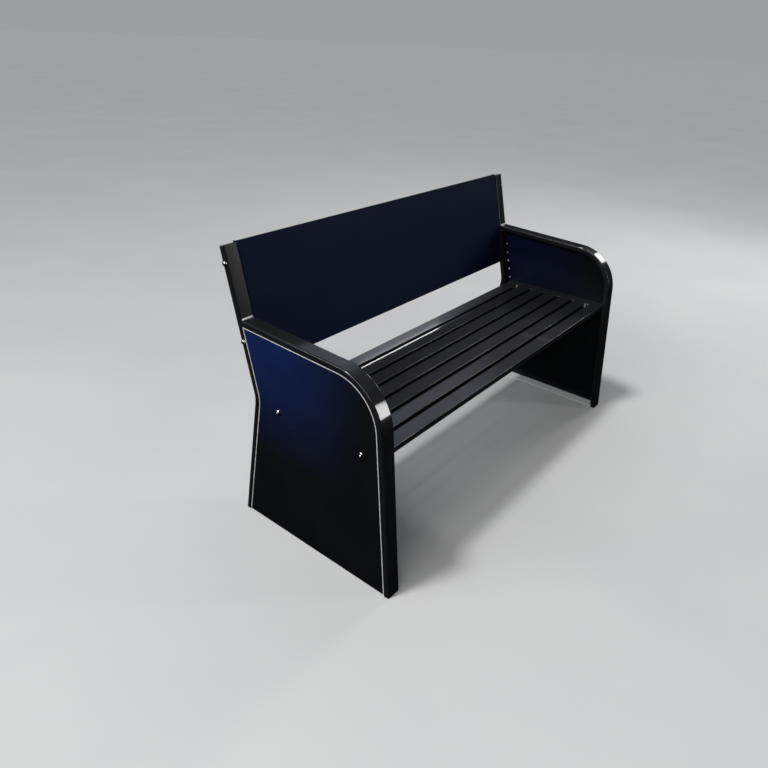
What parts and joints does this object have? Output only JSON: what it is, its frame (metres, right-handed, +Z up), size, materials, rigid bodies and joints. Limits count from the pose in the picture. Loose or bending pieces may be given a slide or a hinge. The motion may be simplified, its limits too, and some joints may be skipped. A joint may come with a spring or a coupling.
{
  "type": "court-side bench",
  "caption": "Free-standing steel bench with a slatted seat, a plain backrest, closed side panels and rounded armrests on bent tube frames.",
  "frame": {"origin": "on the floor, under the middle of the bench's bounding box", "axes": "+X along the bench towards a sitting person's left, +Y towards the backrest, +Z up"},
  "size_m": [1.512, 0.6523, 0.9085],
  "materials": {
    "frame_paint": "satin",
    "panel_paint": "satin",
    "seam_sealant": "matte",
    "weld_metal": "satin",
    "bright_fastener": "polished",
    "plated_insert": "satin",
    "galvanised_bar": "satin",
    "cap_plastic": "matte"
  },
  "bodies": {
    "root": {"backrest_bolt_washers": "bright_fastener", "backrest_bolts": "bright_fastener", "backrest_panel": "panel_paint", "backrest_rivet_nuts": "plated_insert", "left_arm_and_leg_tube": "frame_paint", "left_arm_weld": "weld_metal", "left_foot_bar": "galvanised_bar", "left_front_foot_glide": "cap_plastic", "left_front_leg_tacks": "weld_metal", "left_panel_seam": "seam_sealant", "left_post_cap": "cap_plastic", "left_rear_foot_glide": "cap_plastic", "left_rear_leg_tacks": "weld_metal", "left_rear_post": "frame_paint", "left_seat_bar": "frame_paint", "left_seat_bar_caps": "cap_plastic", "left_side_panel": "panel_paint", "left_slat_welds": "weld_metal", "left_upper_tacks": "weld_metal", "right_arm_and_leg_tube": "frame_paint", "right_arm_weld": "weld_metal", "right_foot_bar": "galvanised_bar", "right_front_foot_glide": "cap_plastic", "right_front_leg_tacks": "weld_metal", "right_panel_seam": "seam_sealant", "right_post_cap": "cap_plastic", "right_rear_foot_glide": "cap_plastic", "right_rear_leg_tacks": "weld_metal", "right_rear_post": "frame_paint", "right_seat_bar": "frame_paint", "right_seat_bar_caps": "cap_plastic", "right_side_panel": "panel_paint", "right_slat_welds": "weld_metal", "right_upper_tacks": "weld_metal", "seat_bolts": "bright_fastener", "seat_rivet_nuts": "plated_insert", "seat_slat_1": "frame_paint", "seat_slat_2": "frame_paint", "seat_slat_3": "frame_paint", "seat_slat_4": "frame_paint", "seat_slat_5": "frame_paint", "seat_slat_6": "frame_paint", "seat_slat_7": "frame_paint"}
  },
  "joints": []
}
